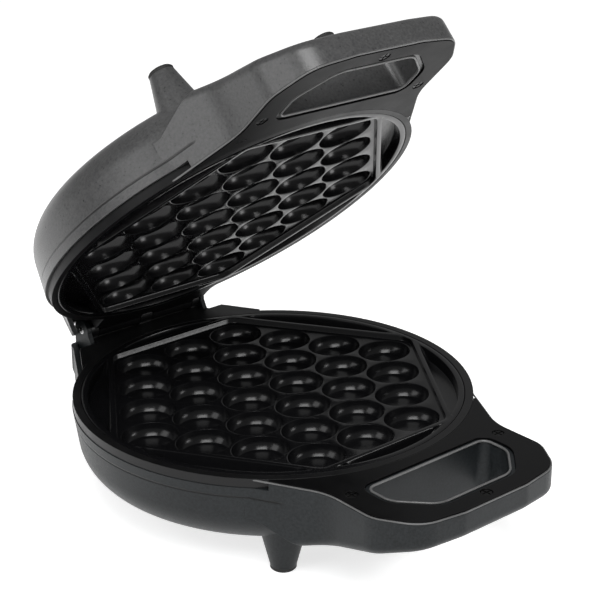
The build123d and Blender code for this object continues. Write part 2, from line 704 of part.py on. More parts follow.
def foot_pads():
    """Rubber feet pushed into the leg tips."""
    solids = []
    for x, y in leg_places():
        pad = rod(LEG_TIP_R, x, y, -PART_HEIGHT, -PART_HEIGHT + PAD_THICK)
        pad = chamfer(pad.edges().sort_by(Axis.Z)[0], 0.7)
        low = -PART_HEIGHT + PAD_THICK
        solids.append(pad + rod(PAD_STEM_R, x, y, low, low + PAD_STEM_LENGTH))
    return Compound(children=solids)


def lid_top_depth(y):
    """Height of the crowned floor of a tray at a distance from its centre."""
    share = (FLOOR_R - abs(y)) / (FLOOR_R - CROWN_R)
    return -BODY_DEPTH - DOME * share


def lamp_lens(x):
    """Domed lens of one indicator lamp, standing just out of the lid top."""
    surface = lid_top_depth(LENS_Y)
    stem = rod(LENS_R, x, LENS_Y, surface + LENS_STEM, surface)
    cap = rod(LENS_R + LENS_FLANGE, x, LENS_Y, surface - RUN_GAP, surface - LENS_PROUD)
    cap = chamfer(cap.edges().sort_by(Axis.Z)[0], LENS_PROUD * 0.6)
    return stem + cap + rod(LENS_R, x, LENS_Y, surface, surface - LENS_PROUD)


def lamp_board():
    """Small board behind the two lenses, with a lamp under each."""
    surface = lid_top_depth(LENS_Y)
    width, depth, thick = LAMP_BOARD
    z = surface + LENS_STEM + FIT_GAP
    board = span(-width / 2, width / 2, LENS_Y - depth / 2, LENS_Y + depth / 2, z, z + thick)
    for x in (-width / 2 + BOARD_POST_R, width / 2 - BOARD_POST_R):
        board += rod(BOARD_POST_R, x, LENS_Y, z, surface + WALL + RUN_GAP)
    return board


def place_base(piece):
    """Lower half: the tray stands on its feet."""
    return Pos(0, 0, PART_HEIGHT) * piece


def place_lid(piece):
    """Upper half: the tray mirrored, set on the lower half, then opened about the hinge."""
    flipped = mirror(piece, Plane.XY)
    turned = Pos(0, HINGE_Y, HINGE_Z) * Rot(-OPEN_DEG, 0, 0) * Pos(0, -HINGE_Y, -HINGE_Z) * flipped
    return Pos(0, 0, PART_HEIGHT) * turned


def build_nodes():
    """Every node of the part, in its place, before the whole is centred."""
    base = {
        "base_shell": base_shell(),
        "base_surround": surround(False),
        "base_handle_cover": handle_cover(False),
        "base_foot_pads": foot_pads(),
        "base_cover_screws": cover_screws(),
        "lower_plate": mould_plate(),
        "lower_heating_element": heater(),
        "lower_reflector": reflector(),
        "lower_plate_screws": plate_screws(),
        "thermostat": thermostat(),
        "thermal_fuse": thermal_fuse(),
        "terminal_block": terminal_block(),
        "cord_gland": cord_gland(),
        "hinge_pin": hinge_pin(),
    }
    lid = {
        "lid_shell": lid_shell(),
        "lid_surround": surround(True),
        "lid_handle_cover": handle_cover(True),
        "lid_foot_pads": foot_pads(),
        "lid_cover_screws": cover_screws(),
        "upper_plate": mould_plate(),
        "upper_heating_element": heater(),
        "upper_reflector": reflector(),
        "upper_plate_screws": plate_screws(),
        "power_lens": lamp_lens(-LENS_X),
        "ready_lens": lamp_lens(LENS_X),
        "lamp_board": lamp_board(),
    }
    nodes = {name: place_base(piece) for name, piece in base.items()}
    nodes.update({name: place_lid(piece) for name, piece in lid.items()})
    return nodes


def centre_shift(nodes):
    """Shift along y that puts the middle of the open machine's length at y = 0."""
    boxes = [piece.bounding_box() for piece in nodes.values()]
    return -(min(b.min.Y for b in boxes) + max(b.max.Y for b in boxes)) / 2


NODES = build_nodes()
SHIFT_Y = centre_shift(NODES)

os.makedirs("parts", exist_ok=True)
for name, piece in NODES.items():
    export_step(Pos(0, SHIFT_Y, 0) * piece, f"parts/{name}.step")
print("shift y", round(SHIFT_Y, 3))
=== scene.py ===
import json
import math

import bmesh
import bpy
from mathutils import Matrix, Vector


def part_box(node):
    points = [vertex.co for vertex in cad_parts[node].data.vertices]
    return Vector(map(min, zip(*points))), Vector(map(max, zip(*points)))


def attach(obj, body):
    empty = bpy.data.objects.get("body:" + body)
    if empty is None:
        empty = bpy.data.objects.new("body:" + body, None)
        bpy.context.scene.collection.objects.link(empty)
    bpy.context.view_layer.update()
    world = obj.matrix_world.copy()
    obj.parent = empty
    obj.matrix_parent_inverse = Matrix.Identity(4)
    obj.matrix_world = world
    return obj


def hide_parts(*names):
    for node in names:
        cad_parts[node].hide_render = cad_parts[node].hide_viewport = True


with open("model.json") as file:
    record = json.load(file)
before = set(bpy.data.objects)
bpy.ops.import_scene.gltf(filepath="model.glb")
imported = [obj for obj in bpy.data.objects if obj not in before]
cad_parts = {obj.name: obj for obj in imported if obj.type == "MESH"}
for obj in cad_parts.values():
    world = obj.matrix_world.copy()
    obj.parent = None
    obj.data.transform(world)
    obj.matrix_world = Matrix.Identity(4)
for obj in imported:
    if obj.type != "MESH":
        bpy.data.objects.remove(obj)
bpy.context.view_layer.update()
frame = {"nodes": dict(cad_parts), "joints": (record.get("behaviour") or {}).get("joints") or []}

# Bubble waffle maker with its lid half open, in metres.
# The housings, surrounds, covers, feet, screws and hinge are the frame's own nodes with moulded
# finishes. The two mould plates are modelled here with smooth egg pockets and rounded ridges,
# and so are the thin lips round the finger openings and the beads round the handle covers.
MM = 0.001

# The hinge, and the lower half's round centre on the parting plane
HINGE = Vector(frame["joints"][0]["pos_m"])
OPEN = -math.radians(frame["joints"][0]["range_deg"][0])
PLATE_LOW, PLATE_HIGH = (Vector(corner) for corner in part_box("lower_plate"))
HALF_GAP = 0.15 * MM
CENTRE = (PLATE_LOW + PLATE_HIGH) / 2
CENTRE.z = PLATE_HIGH.z + HALF_GAP
HINGE_OUT = HINGE - CENTRE
PLATE_R = (PLATE_HIGH.x - PLATE_LOW.x) / 2

# Each half is drawn as a tray: parting plane at z = 0, body going down, round centre at the origin
BASE_TRAY = Matrix.Translation(CENTRE)
LID_TRAY = (Matrix.Translation(HINGE) @ Matrix.Rotation(-OPEN, 4, "X")
            @ Matrix.Translation(-HINGE_OUT) @ Matrix.Diagonal((1, 1, -1, 1)))

# Camera of the photograph: its direction, then its place and lens
CAMERA_AZIMUTH = math.radians(-40.64)
CAMERA_ELEVATION = math.radians(21.95)
CAMERA_DISTANCE = 876.17 * MM
CAMERA_ASIDE = 13.64 * MM
CAMERA_RAISE = 43.50 * MM
CAMERA_CLIP = 10 * MM
FOCAL_PIXELS = 1719.1
PHOTO_PIXELS = 600
SENSOR = 36.0

# Studio: pale floor, plain world, and square lamps by place, side and power
FLOOR_SIZE = 80.0
FLOOR_GLOW = 0.70
FLOOR_TONES = ((0.80, 0.80, 0.80), (0.83, 0.83, 0.83))
FLOOR_ROUGHNESS = 0.9
FLOOR_SPECULAR = 0.1
WORLD_LIGHT = 0.28
LAMPS = {
    "front_softbox": ((-0.50, -0.72, 1.25), 0.9, 18.0),
    "left_softbox": ((-1.15, 0.15, 0.72), 0.7, 4.0),
    "low_softbox": ((0.97, -1.25, 0.29), 0.45, 4.5),
}

# Mould plate: the lattice of its egg pockets
ROW_COUNTS = (3, 4, 5, 6, 5, 4, 3)
PITCH = 31.0 * MM
ROW_STEP = 23.1 * MM

# One pocket: its half widths, its depth, and its rounded lip as shares of the lip's size
POCKET_X = 14.4 * MM
POCKET_Y = 12.9 * MM
POCKET_DEPTH = 11.0 * MM
POCKET_LIP = 0.7 * MM
LIP_CURVE = ((1.0, 0.0), (0.45, 0.1), (0.12, 0.4))
POCKET_SIDES = 40
POCKET_STEPS = 9

# The web between the pockets, and the ridge, gutter and rim round it
WEB_DROP = 2.8 * MM
RIDGE_GAP = 2.0 * MM
RIDGE_WIDTH = 3.0 * MM
GUTTER_DROP = 6.0 * MM
GUTTER_RUNOUT = 5.0 * MM
RIM_WIDTH = 3.4 * MM
RIM_LEAST = 2.6 * MM
FLANGE_DROP = 9.0 * MM
OUTLINE_SIDES = 288

# Rounded corners of the plate's profile, as shares of their size: the foot and the crest of a
# wall that rises outwards, and the plate's outer edge
EDGE_ROUND = 0.5 * MM
FOOT = ((-1.2, 0.0), (-0.4, 0.25), (0.0, 1.0))
CREST = ((0.3, -1.0), (0.6, -0.3), (1.3, 0.0))
OUTER_EDGE = ((-1.0, 0.0), (-0.3, -0.3), (0.0, -1.0))

# How sharp the six-sided outline's corners are, the least a side faces a direction to count,
# and how closely the profile's points may crowd where the ridge meets the rim
CORNER_POWER = 80
LEAST_FACING = 0.01
CROWDING = 0.3
LEAST_STEP = 0.02 * MM

# Rounded lip round each finger opening, and the bead on the shell's edge round each handle cover,
# both coloured light grey as a painted highlight.
# The outlines follow the frame's shells, as plan points in millimetres with a radius at each
# corner. The drops are from the parting plane to the middle of the lip.
LIP_R = 0.6 * MM
LIP_DROP = 0.75 * MM
LIP_POINTS = ((38.2, -111.3), (38.2, -126.9), (22.9, -143.2))
LIP_RADII = (4.7, 11.7, 11.7)
BEAD_R = 0.45 * MM
BEAD_DROP = 0.9 * MM
BEAD_POINTS = ((73.43, -68.03), (54.65, -103.0), (54.65, -133.0), (42.67, -152.06),
               (19.84, -155.85))
BEAD_RADII = (0.0, 30.0, 16.0, 18.0, 12.0)
TUBE_SIDES = 12
ARC_STEPS = 10

# Angles past which an edge stays sharp
PLATE_CREASE = math.radians(35.0)
LIP_CREASE = math.radians(60.0)

# Groove moulded round the rear part of each housing, below its edge. Its sides slope from the
# first of two shares of its width off its middle to the second, and its ends fade out. Inside it
# the plastic's dark tone is cut to a share, as painted shade.
GROOVE_DEPTH = 10.2 * MM
GROOVE_WIDTH = 0.9 * MM
GROOVE_SIDES = (0.25, 0.75)
GROOVE_FADE = 4.0 * MM
GROOVE_PAINTED_SHADE = 0.12
NOTCH_ANGLE = math.radians(41.0)
GROOVE_PAST_NOTCH = 8.0 * MM

# Noises of the finishes: waves to the metre, detail, roughness and distortion
SPECKLE = (760.0, 3.0, 0.62)
CLOUDS = (42.0, 3.0, 0.55)
GRAIN = (2600.0, 2.0, 0.6)
SMEARS = (55.0, 4.0, 0.6, 0.4)
SPARK_GRAIN = (1900.0, 2.0)
PEEL = (620.0, 3.0, 0.55)
SPECKS = (5200.0, 1.0)
DUST = (300.0, 5.0, 0.7)
RUBBER_GRAIN = (1500.0,)
PATCHES = (90.0, 4.0, 0.6)
SCRATCHES = (900.0, 2.0, 0.5, 1.5)
SWIRL = (400.0, 2.0)
WEAVE = (1400.0, 1.0)
PAPER = (9.0,)

# Parts of those noises' values that are spread over a finish's whole range
NOISE_RANGE = (0.3, 0.7)
SPECKLE_RANGE = (0.32, 0.68)
SPECK_RANGE = (0.62, 0.72)
DUST_RANGE = (0.45, 0.75)
PATCH_RANGE = (0.35, 0.7)

# Shares of the noises in the housings' tone and relief and in the coating's relief
SPECKLE_TONE, CLOUD_TONE = 0.75, 0.25
GRAIN_RELIEF, SPECKLE_RELIEF = 0.16, 0.12
PEEL_RELIEF, SPECK_RELIEF = 0.8, 0.2

# Heights of the finishes' relief, and widths over which they soften an edge
SHELL_RELIEF, SHELL_BEVEL = 0.35 * MM, 0.6 * MM
DARK_RELIEF, DARK_BEVEL = 0.012 * MM, 0.45 * MM
COAT_RELIEF = 0.03 * MM
RUBBER_RELIEF, RUBBER_BEVEL = 0.03 * MM, 0.4 * MM
METAL_RELIEF, METAL_BEVEL = 0.01 * MM, 0.15 * MM
LENS_RELIEF = 0.01 * MM
BOARD_RELIEF = 0.02 * MM
BEVEL_SAMPLES = 6

# Clearness, refraction and gloss of the tinted lenses
LENS_CLEARNESS = 0.55
LENS_INDEX = 1.49
LENS_GLOSS = (0.06, 0.14)


def make_camera():
    """Camera at the photograph's viewing angle."""
    back = Vector((math.sin(CAMERA_AZIMUTH) * math.cos(CAMERA_ELEVATION),
                   -math.cos(CAMERA_AZIMUTH) * math.cos(CAMERA_ELEVATION),
                   math.sin(CAMERA_ELEVATION)))
    right = Vector((math.cos(CAMERA_AZIMUTH), math.sin(CAMERA_AZIMUTH), 0))
    up = back.cross(right)
    place = CENTRE + right * CAMERA_ASIDE + up * CAMERA_RAISE + back * CAMERA_DISTANCE
    data = bpy.data.cameras.new("camera")
    data.sensor_width = SENSOR
    data.lens = FOCAL_PIXELS / PHOTO_PIXELS * SENSOR
    data.clip_start = CAMERA_CLIP
    camera = bpy.data.objects.new("camera", data)
    turn = Matrix((right, up, back)).transposed().to_4x4()
    camera.matrix_world = Matrix.Translation(place) @ turn
    bpy.context.scene.collection.objects.link(camera)
    bpy.context.scene.camera = camera


class Finish:
    """Node material with short calls for the nodes that the finishes share."""

    def __init__(self, name):
        self.material = bpy.data.materials.new(name)
        self.material.use_nodes = True
        self.nodes = self.material.node_tree.nodes
        self.links = self.material.node_tree.links
        self.shader = self.nodes["Principled BSDF"]
        self.coords = self.nodes.new("ShaderNodeTexCoord").outputs["Object"]

    def put(self, value, socket):
        """Connect an output, or set a plain value."""
        if isinstance(value, bpy.types.NodeSocket):
            self.links.new(value, socket)
        else:
            socket.default_value = value

    def fix(self, **values):
        """Plain values of the shader's own sockets, each named with _ for a space."""
        for name, value in values.items():
            self.shader.inputs[name.replace("_", " ")].default_value = value

    def noise(self, scale, detail=2.0, roughness=0.5, distortion=0.0):
        """Noise with so many waves to the metre."""
        node = self.nodes.new("ShaderNodeTexNoise")
        node.inputs["Scale"].default_value = scale
        node.inputs["Detail"].default_value = detail
        node.inputs["Roughness"].default_value = roughness
        node.inputs["Distortion"].default_value = distortion
        self.links.new(self.coords, node.inputs["Vector"])
        return node.outputs["Fac"]

    def math(self, operation, first, second=0.0):
        """One arithmetic step."""
        node = self.nodes.new("ShaderNodeMath")
        node.operation = operation
        for socket, value in zip(node.inputs, (first, second)):
            self.put(value, socket)
        return node.outputs["Value"]

    def weigh(self, first, first_share, second, second_share):
        """Sum of two values, each by its share."""
        return self.math("ADD", self.math("MULTIPLY", first, first_share),
                         self.math("MULTIPLY", second, second_share))

    def remap(self, value, source, target=(0.0, 1.0), smooth=False):
        """Value carried from one range to another, held at the ends."""
        node = self.nodes.new("ShaderNodeMapRange")
        node.interpolation_type = "SMOOTHSTEP" if smooth else "LINEAR"
        for name, number in zip(("From Min", "From Max", "To Min", "To Max"), (*source, *target)):
            self.put(number, node.inputs[name])
        self.links.new(value, node.inputs["Value"])
        return node.outputs["Result"]

    def mix(self, share, first, second):
        """Blend of two colours."""
        node = self.nodes.new("ShaderNodeMix")
        node.data_type = "RGBA"
        self.put(share, node.inputs["Factor"])
        for socket, value in ((node.inputs["A"], first), (node.inputs["B"], second)):
            plain = not isinstance(value, bpy.types.NodeSocket)
            self.put((*value, 1.0) if plain else value, socket)
        return node.outputs["Result"]

    def along(self, point, direction):
        """Distance of the shaded point from a point, along a direction."""
        offset = self.nodes.new("ShaderNodeVectorMath")
        offset.operation = "SUBTRACT"
        self.links.new(self.coords, offset.inputs[0])
        offset.inputs[1].default_value = point
        dot = self.nodes.new("ShaderNodeVectorMath")
        dot.operation = "DOT_PRODUCT"
        self.links.new(offset.outputs["Vector"], dot.inputs[0])
        dot.inputs[1].default_value = direction
        return dot.outputs["Value"]

    def surface(self, colour, roughness, height, depth, bevel=0.0):
        """Colour, gloss, relief and softened edges of the shader."""
        self.put(colour, self.shader.inputs["Base Color"])
        self.put(roughness, self.shader.inputs["Roughness"])
        bump = self.nodes.new("ShaderNodeBump")
        bump.inputs["Distance"].default_value = depth
        self.links.new(height, bump.inputs["Height"])
        if bevel:
            edge = self.nodes.new("ShaderNodeBevel")
            edge.samples = BEVEL_SAMPLES
            edge.inputs["Radius"].default_value = bevel
            self.links.new(edge.outputs["Normal"], bump.inputs["Normal"])
        self.links.new(bump.outputs["Normal"], self.shader.inputs["Normal"])
        return self.material


def rear_groove(finish, tray):
    """1 in the groove that runs round a housing's rear part, 0 elsewhere."""
    down = (tray.to_3x3() @ Vector((0, 0, -1))).normalized()
    rear = (tray.to_3x3() @ Vector((0, 1, 0))).normalized()
    centre = tray.to_translation()
    depth = finish.along(centre, down)
    aside = finish.math("ABSOLUTE", finish.along(centre, (1, 0, 0)))
    back = finish.along(centre, rear)
    past = finish.weigh(aside, math.cos(NOTCH_ANGLE), back, math.sin(NOTCH_ANGLE))
    off_line = finish.math("ABSOLUTE", finish.math("SUBTRACT", depth, GROOVE_DEPTH))
    line = finish.remap(off_line, [GROOVE_WIDTH * share for share in GROOVE_SIDES], (1.0, 0.0),
                        smooth=True)
    present = finish.remap(past, (-GROOVE_PAST_NOTCH, -GROOVE_PAST_NOTCH + GROOVE_FADE),
                           smooth=True)
    return finish.math("MULTIPLY", line, present)


def shell_finish(name, tray, dark, light, specular, gloss):
    """Matt grained housing plastic, with the groove round its rear part coloured dark as painted
    shade.
    """
    finish = Finish(name)
    groove = rear_groove(finish, tray)
    speckle = finish.noise(*SPECKLE)
    tone = finish.weigh(finish.remap(speckle, SPECKLE_RANGE), SPECKLE_TONE,
                        finish.remap(finish.noise(*CLOUDS), NOISE_RANGE), CLOUD_TONE)
    # Painted shade: the groove is coloured a near-black share of the housing's dark tone
    shaded = tuple(part * GROOVE_PAINTED_SHADE for part in dark)
    colour = finish.mix(groove, finish.mix(tone, dark, light), shaded)
    relief = finish.weigh(finish.noise(*GRAIN), GRAIN_RELIEF, speckle, SPECKLE_RELIEF)
    height = finish.math("SUBTRACT", relief, groove)
    finish.fix(Specular_IOR_Level=specular)
    return finish.surface(colour, finish.remap(speckle, NOISE_RANGE, gloss), height,
                          SHELL_RELIEF, SHELL_BEVEL)


def dark_finish(name, dark, light, gloss, specular=0.25, bevel=DARK_BEVEL):
    """Moulded plastic with a faint spark-eroded grain and slight wear in its gloss."""
    finish = Finish(name)
    smears = finish.noise(*SMEARS)
    colour = finish.mix(finish.remap(smears, NOISE_RANGE), dark, light)
    finish.fix(Specular_IOR_Level=specular)
    return finish.surface(colour, finish.remap(smears, NOISE_RANGE, gloss),
                          finish.noise(*SPARK_GRAIN), DARK_RELIEF, bevel)


def coated_finish(name, black, speck, gloss, specular):
    """Non-stick coating on cast metal: softly glossy, with orange peel and fine specks."""
    finish = Finish(name)
    peel = finish.noise(*PEEL)
    specks = finish.noise(*SPECKS)
    colour = finish.mix(finish.remap(specks, SPECK_RANGE), black, speck)
    height = finish.weigh(peel, PEEL_RELIEF, specks, SPECK_RELIEF)
    finish.fix(Specular_IOR_Level=specular)
    return finish.surface(colour, finish.remap(peel, NOISE_RANGE, gloss), height, COAT_RELIEF)


def rubber_finish(name, black, dusty, gloss):
    """Matt rubber with a dusty bloom."""
    finish = Finish(name)
    dust = finish.noise(*DUST)
    colour = finish.mix(finish.remap(dust, DUST_RANGE), black, dusty)
    return finish.surface(colour, finish.remap(dust, NOISE_RANGE, gloss),
                          finish.noise(*RUBBER_GRAIN), RUBBER_RELIEF, RUBBER_BEVEL)


def metal_finish(name, colour, worn, gloss):
    """Bare metal with fine drawn scratches and patchy dullness."""
    finish = Finish(name)
    patches = finish.noise(*PATCHES)
    finish.fix(Metallic=1.0)
    tone = finish.mix(finish.remap(patches, PATCH_RANGE), colour, worn)
    return finish.surface(tone, finish.remap(patches, NOISE_RANGE, gloss),
                          finish.noise(*SCRATCHES), METAL_RELIEF, METAL_BEVEL)


def lens_finish(name, deep, colour):
    """Tinted clear lens over an unlit lamp."""
    finish = Finish(name)
    swirl = finish.noise(*SWIRL)
    finish.fix(Transmission_Weight=LENS_CLEARNESS, IOR=LENS_INDEX)
    return finish.surface(finish.mix(swirl, deep, colour),
                          finish.remap(swirl, NOISE_RANGE, LENS_GLOSS), swirl, LENS_RELIEF)


def board_finish(name, dark, light, gloss):
    """Circuit board with a faint weave."""
    finish = Finish(name)
    weave = finish.noise(*WEAVE)
    return finish.surface(finish.mix(weave, dark, light),
                          finish.remap(weave, NOISE_RANGE, gloss), weave, BOARD_RELIEF)


def build_floor():
    """Pale floor that the camera and glossy or clear surfaces see as white."""
    bpy.ops.mesh.primitive_plane_add(size=FLOOR_SIZE)
    floor = bpy.context.object
    floor.name = "floor"
    finish = Finish("floor_paper")
    finish.fix(Roughness=FLOOR_ROUGHNESS, Specular_IOR_Level=FLOOR_SPECULAR,
               Emission_Color=(1, 1, 1, 1))
    paper = finish.mix(finish.noise(*PAPER), *FLOOR_TONES)
    finish.put(paper, finish.shader.inputs["Base Color"])
    path = finish.nodes.new("ShaderNodeLightPath")
    seen = finish.math("MAXIMUM", path.outputs["Is Camera Ray"], path.outputs["Is Glossy Ray"])
    seen = finish.math("MAXIMUM", seen, path.outputs["Is Transmission Ray"])
    finish.put(finish.math("MULTIPLY", seen, FLOOR_GLOW), finish.shader.inputs["Emission Strength"])
    floor.data.materials.append(finish.material)


def area_light(name, place, size, power):
    """Soft square lamp aimed at the machine."""
    data = bpy.data.lights.new(name, "AREA")
    data.size = size
    data.energy = power
    lamp = bpy.data.objects.new(name, data)
    lamp.location = place
    lamp.rotation_euler = (Vector(place) - CENTRE).to_track_quat("Z", "Y").to_euler()
    bpy.context.scene.collection.objects.link(lamp)


def build_lights():
    """Plain white world and the soft studio lamps."""
    world = bpy.data.worlds.new("studio")
    bpy.context.scene.world = world
    world.use_nodes = True
    background = world.node_tree.nodes["Background"]
    background.inputs["Color"].default_value = (1, 1, 1, 1)
    background.inputs["Strength"].default_value = WORLD_LIGHT
    for name, (place, size, power) in LAMPS.items():
        area_light(name, place, size, power)


def ring_turns(count):
    """Equal turns round a circle."""
    return [2 * math.pi * i / count for i in range(count)]


def join_rings(bm, rings):
    """Faces between rings of equal length."""
    for inner, outer in zip(rings, rings[1:]):
        for i in range(len(inner)):
            bm.faces.new((inner[i - 1], outer[i - 1], outer[i], inner[i]))


def loop_edges(bm, ring):
    """Closed chain of edges through a ring of points."""
    pairs = [(ring[i - 1], ring[i]) for i in range(len(ring))]
    return [bm.edges.get(pair) or bm.edges.new(pair) for pair in pairs]


def tray_piece(name, bm, tray, crease, material):
    """Object from a mesh drawn in a half's tray, smooth but for edges past the crease angle."""
    bmesh.ops.recalc_face_normals(bm, faces=bm.faces)
    bmesh.ops.transform(bm, matrix=tray, verts=bm.verts)
    if tray.determinant() < 0:
        bmesh.ops.reverse_faces(bm, faces=bm.faces)
    mesh = bpy.data.meshes.new(name)
    bm.to_mesh(mesh)
    bm.free()
    piece = bpy.data.objects.new(name, mesh)
    bpy.context.scene.collection.objects.link(piece)
    mesh.polygons.foreach_set("use_smooth", [True] * len(mesh.polygons))
    bpy.context.view_layer.objects.active = piece
    piece.select_set(True)
    bpy.ops.object.shade_smooth_by_angle(angle=crease)
    piece.select_set(False)
    mesh.materials.append(material)
    return piece


def side_distances(margin):
    """Normals and distances of the six sides of the mould, a margin outside the pockets."""
    rise = (len(ROW_COUNTS) - 1) / 2 * ROW_STEP
    long_half = (max(ROW_COUNTS) - 1) / 2 * PITCH
    short_half = (min(ROW_COUNTS) - 1) / 2 * PITCH
    tilt = math.atan2(long_half - short_half, rise)
    nx, ny = math.cos(tilt), math.sin(tilt)
    slanted = nx * long_half + math.hypot(nx * POCKET_X, ny * POCKET_Y) + margin
    sides = [(0, 1, rise + POCKET_Y + margin), (0, -1, rise + POCKET_Y + margin)]
    return sides + [(sx * nx, sy * ny, slanted) for sx in (-1, 1) for sy in (-1, 1)]


def mould_radius(turn, margin):
    """Distance from the centre to the rounded six-sided outline in one direction."""
    total = 0.0
    for nx, ny, distance in side_distances(margin):
        facing = math.cos(turn) * nx + math.sin(turn) * ny
        if facing > LEAST_FACING:
            total += (facing / distance) ** CORNER_POWER
    return total ** (-1 / CORNER_POWER)


def rounded_corner(across, height, shape, side=1):
    """Profile points of a rounded corner; side -1 is for a wall that falls outwards."""
    points = [(across + side * part * EDGE_ROUND, height + rise * EDGE_ROUND)
              for part, rise in shape]
    return points if side > 0 else points[::-1]


def plate_section(turn):
    """Radius and height of the plate's profile in one direction, from the web out to the flange.

    Where the mould's outline comes near the rim, the gutter between them fades out.
    """
    ridge_out = RIDGE_GAP + RIDGE_WIDTH
    rim_inner = PLATE_R - RIM_WIDTH
    room = rim_inner - mould_radius(turn, ridge_out)
    share = min(1.0, max(0.0, room / GUTTER_RUNOUT))
    share = share * share * (3 - 2 * share)

    def faded(points):
        return [(across, -HALF_GAP + (z + HALF_GAP) * share) for across, z in points]

    bank = rounded_corner(RIDGE_GAP, -WEB_DROP, FOOT) + rounded_corner(RIDGE_GAP, -HALF_GAP, CREST)
    bank += faded(rounded_corner(ridge_out, -HALF_GAP, CREST, -1)
                  + rounded_corner(ridge_out, -GUTTER_DROP, FOOT, -1))
    rim = faded(rounded_corner(rim_inner, -GUTTER_DROP, FOOT)
                + rounded_corner(rim_inner, -HALF_GAP, CREST))
    points = []
    for margin, z in bank:
        limit = PLATE_R - RIM_LEAST + (margin - RIDGE_GAP) * CROWDING
        points.append((min(mould_radius(turn, margin), limit), z))
    for radius, z in rim:
        points.append((max(radius, points[-1][0] + LEAST_STEP), z))
    return points + rounded_corner(PLATE_R, -HALF_GAP, OUTER_EDGE) + [(PLATE_R, -FLANGE_DROP)]


def pocket_rings(bm, x, y):
    """Rings of one egg pocket, from its rounded lip down to its floor."""
    levels = [(POCKET_X + POCKET_LIP * grow, POCKET_Y + POCKET_LIP * grow, POCKET_LIP * drop)
              for grow, drop in LIP_CURVE]
    for step in range(POCKET_STEPS):
        sink = math.pi / 2 * step / POCKET_STEPS
        drop = POCKET_LIP + (POCKET_DEPTH - POCKET_LIP) * math.sin(sink)
        levels.append((POCKET_X * math.cos(sink), POCKET_Y * math.cos(sink), drop))
    return [[bm.verts.new((x + half_x * math.cos(turn), y + half_y * math.sin(turn),
                           -WEB_DROP - drop)) for turn in ring_turns(POCKET_SIDES)]
            for half_x, half_y, drop in levels]


def mould_plate(name, tray, body, node):
    """Cast mould plate with smooth egg pockets, six-sided ridge, gutter and rim."""
    bm = bmesh.new()
    turns = ring_turns(OUTLINE_SIDES)
    sections = [plate_section(turn) for turn in turns]
    rings = [[bm.verts.new((radius * math.cos(turn), radius * math.sin(turn), z))
              for (radius, z), turn in zip(level, turns)] for level in zip(*sections)]
    join_rings(bm, rings)
    edges = loop_edges(bm, rings[0])
    middle = (len(ROW_COUNTS) - 1) / 2
    for row, count in enumerate(ROW_COUNTS):
        for column in range(count):
            pocket = pocket_rings(bm, (column - (count - 1) / 2) * PITCH,
                                  (row - middle) * ROW_STEP)
            join_rings(bm, pocket[::-1])
            bm.faces.new(pocket[-1])
            edges += loop_edges(bm, pocket[0])
    bmesh.ops.triangle_fill(bm, use_beauty=True, edges=edges, normal=(0, 0, 1))
    bm.faces.new(rings[-1][::-1])
    piece = tray_piece(name, bm, tray, PLATE_CREASE, COATED)
    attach(piece, body)
    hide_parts(node)


def rounded_path(half_points, radii, closed):
    """Plan path mirrored in x, with an arc of the given radius at each corner."""
    half = [Vector((x * MM, y * MM)) for x, y in half_points]
    corners = list(zip(half, radii))
    corners += [(Vector((-point.x, point.y)), radius) for point, radius in reversed(corners)]
    path = []
    for i, (corner, radius) in enumerate(corners):
        if not closed and i in (0, len(corners) - 1):
            path.append(corner)
            continue
        back = (corners[i - 1][0] - corner).normalized()
        ahead = (corners[(i + 1) % len(corners)][0] - corner).normalized()
        half_angle = back.angle(ahead) / 2
        run = radius * MM / math.tan(half_angle)
        centre = corner + (back + ahead).normalized() * radius * MM / math.sin(half_angle)
        start = (corner + back * run - centre).normalized()
        end = (corner + ahead * run - centre).normalized()
        path += [centre + start.slerp(end, step / ARC_STEPS) * radius * MM
                 for step in range(ARC_STEPS + 1)]
    return path


def lip(name, tray, body, path, closed, radius, drop):
    """Round moulded lip swept along a plan path, its middle so far below the parting plane."""
    bm = bmesh.new()
    rings = []
    for i, point in enumerate(path):
        before = path[i - 1] if closed or i else point
        after = path[(i + 1) % len(path)] if closed or i + 1 < len(path) else point
        ahead = (after - before).normalized()
        side = Vector((ahead.y, -ahead.x))
        ring = []
        for turn in ring_turns(TUBE_SIDES):
            plan = point + side * radius * math.cos(turn)
            ring.append(bm.verts.new((plan.x, plan.y, radius * math.sin(turn) - drop)))
        rings.append(ring)
    join_rings(bm, rings + rings[:1] if closed else rings)
    if not closed:
        bm.faces.new(rings[0])
        bm.faces.new(rings[-1])
    piece = tray_piece(name, bm, tray, LIP_CREASE, LIP_PAINTED_HIGHLIGHT)
    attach(piece, body)


def handle_trim(half, tray, body):
    """Lip round the finger opening and bead round the handle cover of one half."""
    lip(half + "_opening_lip", tray, body, rounded_path(LIP_POINTS, LIP_RADII, True), True,
        LIP_R, LIP_DROP)
    lip(half + "_seam_bead", tray, body, rounded_path(BEAD_POINTS, BEAD_RADII, False), False,
        BEAD_R, BEAD_DROP)


def dress_nodes():
    """Finishes of the nodes that show as the frame has them."""
    for name, material in NODE_FINISHES.items():
        node = frame["nodes"][name]
        node.data.materials.clear()
        node.data.materials.append(material)


